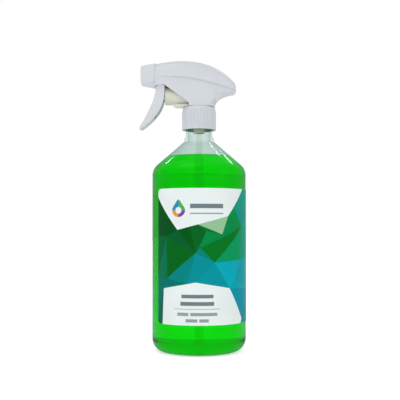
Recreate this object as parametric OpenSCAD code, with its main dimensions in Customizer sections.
// One-litre trigger spray bottle: clear blown bottle, green wash liquid, wrap label and a
// ball-valve trigger sprayer screwed on a 28-410 neck. Millimetres, +Z up. The origin is on the
// bottle's axis at the plane it stands on, and the nozzle points along -X.

/* [Bottle] */
// Outer diameter of the bottle's body
bottle_d = 88; // [84:1:92]
// Height of the neck's top above the ground
bottle_h = 225; // [215:1:235]
// Wall thickness of the blown bottle
wall = 0.8; // [0.6:0.1:1]
// Radius of the heel between the body and the base
heel_r = 12; // [9:1:14]
// Slope of the shoulder cone, as radius lost per millimetre of height
shoulder_slope = 1.155; // [1.1:0.005:1.3]
// Depth from the neck's top down to the liquid's surface
headspace = 44.2; // [36:0.1:60]

/* [Label] */
// Height of the label's lower edge above the ground
label_low = 28.5; // [20:0.5:36]
// Height of the label
label_h = 121.8; // [90:0.1:124]
// Share of the way round that the label covers, in degrees
label_span = 230; // [120:5:330]

/* [Closure] */
// Outer radius of the screw collar
collar_r = 16; // [15.5:0.1:17]
// Number of grip ribs round the collar
collar_ribs = 32; // [24:1:48]
// Axial travel of the thread in one turn, 6 turns to the inch
thread_lead = 4.233; // [4:0.001:4.3]

/* [Sprayer] */
// Height of the nozzle's axis above the neck's top
nozzle_up = 33.6; // [33:0.1:34.2]
// Height of the pump cylinder's axis above the neck's top
pump_up = 14.6; // [14.2:0.1:15]
// Bore radius of the pump cylinder
pump_bore = 7.25; // [6.8:0.05:7.4]
// Wall thickness of the shroud
shroud_wall = 1.3; // [1:0.1:1.4]
// Number of active turns of the return spring
spring_turns = 6; // [4:1:8]

/* [Hidden] */
$fn = 96;
eps = 0.01;

// Colours
clear_pet = [0.86, 0.93, 0.91, 0.35];
wash_green = [0.02, 0.75, 0.04];
label_teal = [0.04, 0.62, 0.66];
white_plastic = [0.93, 0.94, 0.96];
natural_plastic = [0.88, 0.90, 0.82];
seal_grey = [0.35, 0.36, 0.38];
steel = [0.75, 0.76, 0.78];

// Bottle
body_r = bottle_d / 2;
neck_r = 12.5;
neck_bore = 10.85;
finish_h = 18;
bead_r = 13.9;
bead_low = bottle_h - 28;
bead_high = bottle_h - 25.1;
neck_foot = bead_low - 1.1;
neck_foot_r = 14.3;
shoulder_r = 13;
shoulder_turn = atan(shoulder_slope);
ring_in = body_r - heel_r - 3;
push_up = 6;
fill_z = bottle_h - headspace;
// The shoulder's arc is tangent to the body and to the cone that runs down from the neck's foot.
arc_end_r = body_r - shoulder_r + shoulder_r * cos(shoulder_turn);
shoulder_z = neck_foot - (arc_end_r - neck_foot_r) / shoulder_slope - shoulder_r * sin(shoulder_turn);

// Thread of the 28-410 finish and of the collar
thread_turns = 1.5;
male_crest = 13.7;
female_crest = 12.95;
collar_bore = 14.2;
thread_step = 15;
male_top = bottle_h - 1.8;
bearing_gap = 0.2;
male_half = [1.15, 0.5];
female_half = [1, 0.4];

// Stack on the neck's top: gasket, retainer flange, collar top
gasket_h = 1.2;
flange_z = bottle_h + gasket_h;
flange_h = 1.2;
collar_low = bottle_h - finish_h;
collar_wall_z = flange_z + flange_h + 0.05;
collar_top = bottle_h + 3.7;
collar_hole = 8.6;
rib_top = bottle_h + 0.2;
rib_depth = 0.45;
crown_r = collar_r - rib_depth - 0.1;

// Pump
nozzle_z = bottle_h + nozzle_up;
pump_z = bottle_h + pump_up;
plate_z = collar_top + 0.3;
plate_h = 2;
pump_wall = 1.5;
pump_front = -32;
pump_end = -12;
stem_r = 6.2;
stem_foot_r = 8.52;
stem_top = nozzle_z + 4.9;
ball_r = 2.4;
chamber_r = 2.9;
seat_bore = 1.9;
ball_lift = 1.3;
barrel_r = 4.6;
barrel_bore = 2.1;
barrel_front = -47.5;
pivot = [-36, bottle_h + 27];
pin_r = 1.8;
pin_reach = 10.6;
boss_half = 8.8;
cheek_r = 3.4;

// Retainer, dip tube and the ball seats
tube_r = 3.3;
tube_bore = 2.5;
tube_low = 8;
tube_top = bottle_h - 2;
socket_r = 5.3;
socket_low = bottle_h - 21;
spigot_r = 4.6;
spigot_top = flange_z + flange_h + 4.6;
inlet_seat_z = spigot_top - 0.5;
outlet_seat_z = pump_z + 6.5;
// Height of a ball's centre above the rim of the bore it rests on
ball_on_seat = sqrt(ball_r * ball_r - seat_bore * seat_bore);
// The fins and legs that stop a lifted ball reach in to this radius
stop_r = 1.5;
function ball_stop(seat_z) = seat_z + ball_on_seat + ball_lift + 0.05 + sqrt(ball_r * ball_r - stop_r * stop_r);
chamber_top = ball_stop(inlet_seat_z) + 1.8;

// Piston and trigger
piston_face = -39.0;
piston_head = [-28, -24];
ring_section = 0.6;
ring_r = pump_bore - 0.05 - ring_section;
spring_coil = 4.4;
spring_wire = 0.45;
trigger_inner = 9.0;
trigger_outer = 10.35;
trigger_web = 1.8;
trigger_front = [[-40.6, bottle_h + 22.4], [-41, bottle_h + 11], [-46, bottle_h + 1], [-56.2, bottle_h - 16.2]];
trigger_rear = [[-32.2, bottle_h + 22], [-32, bottle_h + 8], [-34.5, bottle_h - 3], [-53.6, bottle_h - 17.2]];

// Nozzle
nozzle_rear = -41.5;
nozzle_front = -55;
nozzle_half = [10.9, 8.6];
nozzle_corner = [4.5, 3.6];

// Shroud: curves in the plane of symmetry, each as the four points of a cubic curve
shroud_front = -41.2;
shroud_top = [[-41.2, bottle_h + 44.3], [-18, bottle_h + 49.5], [14, bottle_h + 51], [35.3, bottle_h + 25]];
shroud_crease = [[-41.2, bottle_h + 34], [-14, bottle_h + 36.5], [8, bottle_h + 30], [35.2, bottle_h + 21.9]];
shroud_tail = [[15, bottle_h + 4], [15.2, bottle_h + 11], [22, bottle_h + 15.6], [34.6, bottle_h + 16.3]];
shroud_width = [[-41.2, 12.4], [-20, 14.2], [18, 16.5], [35.3, 7.4]];
shroud_step = 0.9;
shroud_foot = 11.9;
skirt_front = -8.9;
skirt_low = bottle_h + 4;
visor = [[-41.3, bottle_h + 22.9], [-33.2, bottle_h + 24.1]];

// Helpers --------------------------------------------------------------------------------------

function cubic(p, t) = pow(1 - t, 3) * p[0] + 3 * t * pow(1 - t, 2) * p[1]
    + 3 * t * t * (1 - t) * p[2] + pow(t, 3) * p[3];
function curve(p, n) = [for (i = [0:n]) cubic(p, i / n)];
function arc(c, r, a, b, n) = [for (i = [0:n]) c + r * [cos(a + (b - a) * i / n), sin(a + (b - a) * i / n)]];
function reversed(p) = [for (i = [len(p) - 1:-1:0]) p[i]];
// Parameter at which a curve that runs steadily along x reaches x, by halving
function at_x(p, x, lo = 0, hi = 1, n = 24) = n == 0 ? (lo + hi) / 2
    : let (m = (lo + hi) / 2) cubic(p, m)[0] < x ? at_x(p, x, m, hi, n - 1) : at_x(p, x, lo, m, n - 1);
function height(p, x) = cubic(p, at_x(p, x))[1];

// Tube from one x to another along the X axis at a height
module rod_x(x0, x1, r, z = 0) {
    translate([x0, 0, z])
        rotate([0, 90, 0])
            cylinder(h = x1 - x0, r = r);
}

// Rod through both sides along the Y axis
module rod_y(at, half, r) {
    translate([at[0], -half, at[1]])
        rotate([-90, 0, 0])
            cylinder(h = 2 * half, r = r);
}

module ring(z, h, r_out, r_in) {
    translate([0, 0, z])
        difference() {
            cylinder(h = h, r = r_out);
            translate([0, 0, -eps])
                cylinder(h = h + 2 * eps, r = r_in);
        }
}

// Side profile in X and Z, made a plate from y0 to y1
module plate_y(points, y0, y1) {
    translate([0, y1, 0])
        rotate([90, 0, 0])
            linear_extrude(height = y1 - y0)
                polygon(points);
}

// Square with round corners, centred, as points
function round_square(half, corner, n = 6) = [for (q = [0:3]) for (p = arc(
    (half - corner) * [sign(cos(45 + 90 * q)), sign(sin(45 + 90 * q))], corner, 90 * q, 90 * q + 90, n)) p];

// A thread ridge: its section swept up a helix. The section is half widths at foot and crest.
module thread(r_foot, r_crest, half, z0, turns, start) {
    steps = round(turns * 360 / thread_step);
    out = r_crest > r_foot;
    section = out
        ? [[r_foot, -half[0]], [r_crest, -half[1]], [r_crest, half[1]], [r_foot, half[0]]]
        : [[r_foot, half[0]], [r_crest, half[1]], [r_crest, -half[1]], [r_foot, -half[0]]];
    // Both ends run out into the wall over one step
    function fade(i) = i == 0 || i == steps ? 0.1 : 1;
    points = [for (i = [0:steps]) let (a = start + i * thread_step, z = z0 + thread_lead * i * thread_step / 360)
        for (s = section) let (r = r_foot + (s[0] - r_foot) * fade(i))
            [r * cos(a), r * sin(a), z + s[1]]];
    sides = [for (i = [0:steps - 1]) for (k = [0:3]) let (a = 4 * i + k, b = 4 * i + (k + 1) % 4)
        each [[a, b, b + 4], [a, b + 4, a + 4]]];
    ends = [[2, 1, 0], [3, 2, 0], [4 * steps, 4 * steps + 1, 4 * steps + 2],
            [4 * steps, 4 * steps + 2, 4 * steps + 3]];
    polyhedron(points = points, faces = concat(sides, ends));
}

// Bottle, liquid and label -----------------------------------------------------------------------

// Outline of the bottle's outside (inset 0) or inside (inset = wall) from the axis up to height top
function bottle_curve(inset, neck, foot_z) = concat(
    [for (p = arc([0, push_up + inset - 75], 75, 90, 90 - asin(16 / 75), 4)) p],
    [[ring_in - 0.6 * inset, inset], [body_r - heel_r, inset]],
    arc([body_r - heel_r, heel_r], heel_r - inset, -80, 0, 8),
    arc([body_r - shoulder_r, shoulder_z], shoulder_r - inset, 0, shoulder_turn, 6),
    [[neck, foot_z]]);

inner_foot_z = shoulder_z + (shoulder_r - wall) * sin(shoulder_turn)
    + (body_r - shoulder_r + (shoulder_r - wall) * cos(shoulder_turn) - neck_bore) / shoulder_slope;

module bottle() {
    outside = concat(bottle_curve(0, neck_foot_r, neck_foot),
        [[bead_r, bead_low], [bead_r, bead_high - 0.5], [bead_r - 0.6, bead_high], [neck_r, bead_high],
         [neck_r, bottle_h - 0.4], [neck_r - 0.4, bottle_h]]);
    inside = concat(bottle_curve(wall, neck_bore, inner_foot_z), [[neck_bore, bottle_h]]);
    color(clear_pet)
        union() {
            rotate_extrude()
                polygon(concat(outside, reversed(inside)));
            thread(neck_r - 0.3, male_crest, male_half, male_top - thread_turns * thread_lead - 0.6,
                thread_turns, 0);
        }
}

module liquid() {
    gap = wall + 0.05;
    side = [for (p = bottle_curve(gap, neck_bore, inner_foot_z)) if (p[1] < fill_z) p];
    rim = body_r - shoulder_r + (shoulder_r - gap) * cos(shoulder_turn)
        - (fill_z - shoulder_z - (shoulder_r - gap) * sin(shoulder_turn)) * shoulder_slope;
    color(wash_green)
        difference() {
            rotate_extrude()
                polygon(concat(side, [[rim, fill_z], [0, fill_z]]));
            translate([0, 0, tube_low - 0.5])
                cylinder(h = bottle_h, r = tube_r + 0.3);
        }
}

module label() {
    sheet = 0.1;
    first = 270 - 57.2;
    color(label_teal)
        rotate([0, 0, first])
            rotate_extrude(angle = label_span)
                translate([body_r + 0.02, label_low])
                    square([sheet, label_h]);
}

// Closure --------------------------------------------------------------------------------------

// Outline of the ribbed skirt: each rib is a flat crest with sloping sides
function rib_outline() = [for (i = [0:collar_ribs - 1]) let (a = 360 / collar_ribs)
    each [for (s = [[0, 0], [0.22, 1], [0.56, 1], [0.78, 0]])
        (collar_r - rib_depth + s[1] * rib_depth) * [cos(a * (i + s[0])), sin(a * (i + s[0]))]]];

module collar() {
    turns = 1.25;
    // In the tight collar the upper flank of its thread bears under the lower flank of the neck's
    drop = 1.23 + bearing_gap;
    start = 180;
    color(white_plastic)
        union() {
            difference() {
                union() {
                    translate([0, 0, collar_low])
                        linear_extrude(height = rib_top - collar_low)
                            polygon(rib_outline());
                    rotate_extrude()
                        polygon([[collar_bore - 0.5, collar_low], [collar_r + 0.1, collar_low],
                                 [collar_r + 0.1, collar_low + 1.1], [collar_bore - 0.5, collar_low + 2.3]]);
                    rotate_extrude()
                        polygon([[collar_hole - 0.5, rib_top - 1], [crown_r, rib_top - 1],
                                 [crown_r, collar_top - 1.6], [crown_r - 1.2, collar_top],
                                 [collar_hole - 0.5, collar_top]]);
                }
                translate([0, 0, collar_low - eps])
                    cylinder(h = collar_wall_z - collar_low + eps, r = collar_bore);
                translate([0, 0, collar_low])
                    cylinder(h = collar_top, r = collar_hole);
            }
            thread(collar_bore + 0.6, female_crest, female_half,
                male_top - thread_turns * thread_lead - 0.6 + thread_lead / 2 - drop, turns, start);
        }
}

module gasket() {
    color(natural_plastic)
        ring(bottle_h, gasket_h, 13.2, 8.2);
}

module retainer() {
    color(natural_plastic)
        difference() {
            union() {
                translate([0, 0, flange_z])
                    cylinder(h = flange_h, r = 13.2);
                translate([0, 0, bottle_h - 4])
                    cylinder(h = gasket_h + 4, r = 8);
                translate([0, 0, socket_low])
                    cylinder(h = bottle_h - socket_low, r = socket_r);
                translate([0, 0, flange_z])
                    cylinder(h = spigot_top - flange_z, r = spigot_r);
            }
            translate([0, 0, socket_low - eps])
                cylinder(h = tube_top - socket_low + eps, r = tube_r);
            translate([0, 0, socket_low])
                cylinder(h = spigot_top, r = seat_bore);
            translate([0, 0, inlet_seat_z])
                cylinder(h = 1, r1 = seat_bore, r2 = seat_bore + 1.2);
            // Groove for the stem seal
            ring(flange_z + flange_h + 1.6, 1.1, spigot_r + 1, spigot_r - 0.9);
            // Vent that lets air into the bottle behind the pump
            translate([6.6, 0, bottle_h - 5])
                cylinder(h = 12, r = 0.7);
        }
}

module stem_seal() {
    color(seal_grey)
        translate([0, 0, flange_z + flange_h + 2.15])
            rotate_extrude()
                translate([spigot_r - 0.44, 0])
                    circle(r = 0.44);
}

module dip_tube() {
    color(natural_plastic)
        difference() {
            translate([0, 0, tube_low])
                cylinder(h = tube_top - tube_low, r = tube_r);
            translate([0, 0, tube_low - eps])
                cylinder(h = tube_top, r = tube_bore);
            // Slanted end, so that the tube can't seal itself on the base
            translate([tube_r, 0, tube_low])
                rotate([0, 50, 0])
                    translate([0, -5, -10])
                        cube([10, 10, 20]);
        }
}

// Pump -------------------------------------------------------------------------------------------

module ball(z) {
    color(steel)
        translate([0, 0, z + ball_on_seat + 0.02])
            sphere(r = ball_r);
}

module inlet_ball() {
    ball(inlet_seat_z);
}

module outlet_ball() {
    ball(outlet_seat_z);
}

module pump_body() {
    cone_r = seat_bore + 1.2;
    color(natural_plastic)
        difference() {
            union() {
                // Stem with its foot through the collar and the plate above it
                translate([0, 0, flange_z + flange_h + 0.05])
                    cylinder(h = plate_z - flange_z - flange_h, r = stem_foot_r);
                translate([-22, -7, plate_z])
                    cube([16, 14, plate_h]);
                translate([-8, -9.4, plate_z])
                    cube([18, 18.8, plate_h]);
                translate([0, 0, plate_z])
                    cylinder(h = stem_top - plate_z, r = stem_r);
                // Pump cylinder, and its neck to the stem
                rod_x(pump_front, pump_end + pump_wall, pump_bore + pump_wall, pump_z);
                rod_x(pump_end, 0, 4.5, pump_z);
                translate([-24, -4, plate_z + eps])
                    cube([18, 8, pump_z - plate_z - pump_bore]);
                // Outlet barrel, with the boss and pins that the trigger turns on
                rod_x(barrel_front, 0, barrel_r, nozzle_z);
                rod_y(pivot, boss_half, 3);
                rod_y(pivot, pin_reach, pin_r);
                translate([pivot[0] - 2.5, -3, pivot[1]])
                    cube([5, 6, nozzle_z - pivot[1]]);
                // Web between barrel and cylinder
                translate([-29, -1, pump_z + pump_bore + 0.5])
                    cube([27, 2, nozzle_z - pump_z - pump_bore - 2]);
                // Lugs that hold the shroud's flanks
                translate([-4, -10.95, plate_z + 8])
                    cube([8, 21.9, 3]);
            }
            // Socket for the retainer's spigot
            translate([0, 0, flange_z])
                cylinder(h = spigot_top - flange_z, r = spigot_r + 0.03);
            // Inlet chamber with four fins that stop the ball, passage and outlet chamber of the stem
            difference() {
                translate([0, 0, flange_z])
                    cylinder(h = chamber_top - flange_z, r = chamber_r);
                for (a = [45:90:315])
                    rotate([0, 0, a])
                        translate([stop_r, -0.4, ball_stop(inlet_seat_z)])
                            cube([3, 0.8, 4]);
            }
            translate([0, 0, flange_z])
                cylinder(h = outlet_seat_z + 1 - flange_z, r = seat_bore);
            translate([0, 0, outlet_seat_z])
                cylinder(h = 1, r1 = seat_bore, r2 = cone_r);
            translate([0, 0, outlet_seat_z + 1])
                cylinder(h = stem_top, r = cone_r);
            // Pump bore and its port
            rod_x(pump_front - 1, pump_end, pump_bore, pump_z);
            rod_x(pump_end - 1, 0, 1.2, pump_z);
            // Barrel bore
            rod_x(barrel_front - 1, 0, barrel_bore, nozzle_z);
            // Groove for the nozzle seal
            translate([-44.6, 0, nozzle_z])
                rotate([0, 90, 0])
                    ring(0, 1.3, barrel_r + 1, barrel_r - 1.05);
        }
}

module stem_plug() {
    cone_r = seat_bore + 1.2;
    nose = ball_stop(outlet_seat_z);
    color(white_plastic)
        difference() {
            union() {
                translate([0, 0, nozzle_z + 2.3])
                    cylinder(h = stem_top - nozzle_z - 2.3, r = cone_r - 0.02);
                translate([0, 0, stem_top])
                    cylinder(h = 1.2, r = stem_r - 0.4);
                // Four legs hold the ball down and let the liquid past
                for (a = [45:90:315])
                    rotate([0, 0, a])
                        translate([stop_r, -0.5, nose])
                            cube([1.4, 1, nozzle_z + 2.5 - nose]);
            }
            translate([0, 0, stem_top - 1])
                cylinder(h = 4, r = 1.6);
        }
}

module piston() {
    color(white_plastic)
        difference() {
            union() {
                rod_x(piston_face, piston_face + 1.6, 4.3, pump_z);
                rod_x(piston_face, piston_head[0] + 1, 3.7, pump_z);
                rod_x(piston_head[0], piston_head[1], pump_bore - 0.08, pump_z);
                rod_x(piston_head[1] - 1, piston_head[1] + 3, 3.4, pump_z);
            }
            // Groove for the ring
            translate([-26.75, 0, pump_z])
                rotate([0, 90, 0])
                    ring(0, 1.5, pump_bore + 1, ring_r - ring_section);
            // Cored out from the trigger's side
            rod_x(piston_face - 1, piston_head[0] - 2, 2.4, pump_z);
        }
}

module piston_ring() {
    color(seal_grey)
        translate([-26, 0, pump_z])
            rotate([0, 90, 0])
                rotate_extrude()
                    translate([ring_r, 0])
                        circle(r = ring_section);
}

module return_spring() {
    sides = 6;
    per_turn = 12;
    steps = spring_turns * per_turn;
    x0 = piston_head[1] + spring_wire + 0.05;
    pitch = (pump_end - piston_head[1] - 2 * spring_wire - 0.1) / spring_turns;
    points = [for (i = [0:steps]) let (a = 360 * i / per_turn, x = x0 + pitch * i / per_turn)
        for (k = [0:sides - 1]) let (b = 360 * k / sides, r = spring_coil + spring_wire * cos(b))
            [x + spring_wire * sin(b), r * cos(a), pump_z + r * sin(a)]];
    skin = [for (i = [0:steps - 1]) for (k = [0:sides - 1])
        let (a = sides * i + k, b = sides * i + (k + 1) % sides)
            each [[a, b + sides, b], [a, a + sides, b + sides]]];
    caps = [for (k = [1:sides - 2]) each [[0, k, k + 1],
        [sides * steps, sides * steps + k + 1, sides * steps + k]]];
    color(steel)
        polyhedron(points = points, faces = [for (f = concat(skin, caps)) [f[0], f[2], f[1]]]);
}

// Front view of the lever, its half width shrinking from wide to narrow below the collar's top
module lever_front(wide, narrow) {
    translate([-80, 0, 0])
        rotate([90, 0, 90])
            linear_extrude(height = 80)
                polygon([[-narrow, bottle_h - 20], [narrow, bottle_h - 20], [wide, bottle_h + 4],
                         [wide, bottle_h + 40], [-wide, bottle_h + 40], [-wide, bottle_h + 4]]);
}

module trigger() {
    front = curve(trigger_front, 16);
    rear = curve(trigger_rear, 16);
    tip = [[-56.4, bottle_h - 17.1], [-55.2, bottle_h - 17.8]];
    outline = concat(front, tip, reversed(rear));
    // The channel behind the finger wall, open at the back
    inner_front = [for (i = [0:12]) front[i] + [trigger_web, -0.2]];
    channel = concat([[front[0][0] + trigger_web, bottle_h + 40]], inner_front,
        [inner_front[12] + [30, 12], [0, bottle_h + 40]]);
    wall_y = trigger_outer - trigger_inner;
    color(white_plastic)
        difference() {
            union() {
                difference() {
                    intersection() {
                        plate_y(outline, -trigger_outer, trigger_outer);
                        lever_front(trigger_outer, trigger_outer - 3);
                    }
                    intersection() {
                        plate_y(channel, -trigger_inner, trigger_inner);
                        lever_front(trigger_inner, trigger_inner - 3);
                    }
                }
                // Cheeks round the pivot pins
                for (y0 = [-trigger_outer, trigger_inner])
                    plate_y(concat([[pivot[0] - cheek_r, bottle_h + 21]], arc(pivot, cheek_r, 180, 0, 12),
                        [[pivot[0] + cheek_r, bottle_h + 21]]), y0, y0 + wall_y);
                // Ridge that bears on the piston
                rod_y([-40.4, pump_z], trigger_inner + 0.5, 1.3);
            }
            rod_y(pivot, 20, pin_r + 0.06);
        }
}

// Front end --------------------------------------------------------------------------------------

module spinner() {
    color(white_plastic)
        difference() {
            rod_x(barrel_front - 1.4, barrel_front + 5, barrel_bore - 0.02, nozzle_z);
            // Swirl chamber in its face, and two flats that let the liquid past
            rod_x(barrel_front - 2, barrel_front - 0.9, 1, nozzle_z);
            for (s = [-1, 1])
                translate([barrel_front - 2, s * 2.6 - 1, nozzle_z - 3])
                    cube([10, 2, 6]);
        }
}

module nozzle_seal() {
    color(seal_grey)
        translate([-43.95, 0, nozzle_z])
            rotate([0, 90, 0])
                rotate_extrude()
                    translate([barrel_r - 0.5, 0])
                        circle(r = 0.52);
}

module nozzle() {
    wall_x = barrel_front - 1.5;
    color(white_plastic)
        difference() {
            hull() {
                for (i = [0, 1])
                    translate([i == 0 ? nozzle_rear - 1 : nozzle_front + 1.6, 0, nozzle_z])
                        rotate([0, 90, 0])
                            linear_extrude(height = 1)
                                polygon(round_square(nozzle_half[i], nozzle_corner[i]));
                translate([nozzle_front, 0, nozzle_z])
                    rotate([0, 90, 0])
                        linear_extrude(height = 1)
                            polygon(round_square(nozzle_half[1] - 1.6, nozzle_corner[1] - 0.8));
            }
            // Space between the outer shell and the sleeve that turns on the barrel
            difference() {
                rod_x(wall_x + 0.6, nozzle_rear + 1, 8.6, nozzle_z);
                rod_x(wall_x, nozzle_rear + 2, 5.9, nozzle_z);
            }
            rod_x(wall_x, nozzle_rear + 1, barrel_r + 0.07, nozzle_z);
            // Orifice and its flared recess
            rod_x(nozzle_front - 1, nozzle_rear, 0.45, nozzle_z);
            rod_x(nozzle_front - 1, nozzle_front + 2.2, 3.2, nozzle_z);
        }
}

// Shroud -----------------------------------------------------------------------------------------

// Stations along the shroud, closer together at the tail
stations = [-41.2, -36, -29, -21, -13, -5, 3, 10, 16, 21, 25.5, 29, 31.8, 33.8, 34.8];

// Half section of the dome over the crease: a rounded arch of half width w from low to high
function arch(w, low, high, n = 10) = [for (i = [0:n]) let (a = 180 * i / n)
    [w * sign(cos(a)) * pow(abs(cos(a)), 0.72), low + (high - low) * pow(sin(a), 0.78)]];

module section(x, points) {
    translate([x, 0, 0])
        rotate([90, 0, 90])
            linear_extrude(height = eps)
                polygon(points);
}

module shroud_solid(inset) {
    xs = [for (x = stations) min(x, 34.8 - inset)];
    for (i = [0:len(xs) - 2]) {
        hull()
            for (x = [xs[i], xs[i + 1]])
                section(x, arch(height(shroud_width, x) - inset, height(shroud_crease, x) - 0.2,
                    height(shroud_top, x) - inset));
        hull()
            for (x = [xs[i], xs[i + 1]]) {
                tail = x > 15.01;
                step = shroud_step * min(1, (x + 41.2) / 16);
                low = tail ? height(shroud_tail, x) + inset : skirt_low - (inset > 0 ? 1 : 0);
                high = height(shroud_crease, x);
                w = height(shroud_width, x) - step - inset;
                foot = tail ? w - 2.5 : min(w, shroud_foot - inset);
                section(x, [[-foot, low], [foot, low], [w, max(low + 1.5, high - 7)], [w, high],
                            [-w, high], [-w, max(low + 1.5, high - 7)]]);
            }
    }
}

module shroud() {
    color(white_plastic)
        difference() {
            shroud_solid(0);
            difference() {
                shroud_solid(shroud_wall);
                // Front wall round the barrel
                translate([shroud_front - 1, -20, 0])
                    cube([1 + shroud_wall, 40, 400]);
            }
            rod_x(shroud_front - 1, shroud_front + 3, 6, nozzle_z);
            // Opening under the visor and along the slanted edge behind the trigger
            plate_y([[-60, bottle_h - 20], [-60, visor[0][1]], visor[0], visor[1],
                     [skirt_front, bottle_h + 6.5], [skirt_front, bottle_h - 20]], -30, 30);
        }
}

bottle();
liquid();
label();
collar();
gasket();
retainer();
stem_seal();
dip_tube();
inlet_ball();
pump_body();
outlet_ball();
stem_plug();
piston();
piston_ring();
return_spring();
trigger();
spinner();
nozzle_seal();
nozzle();
shroud();
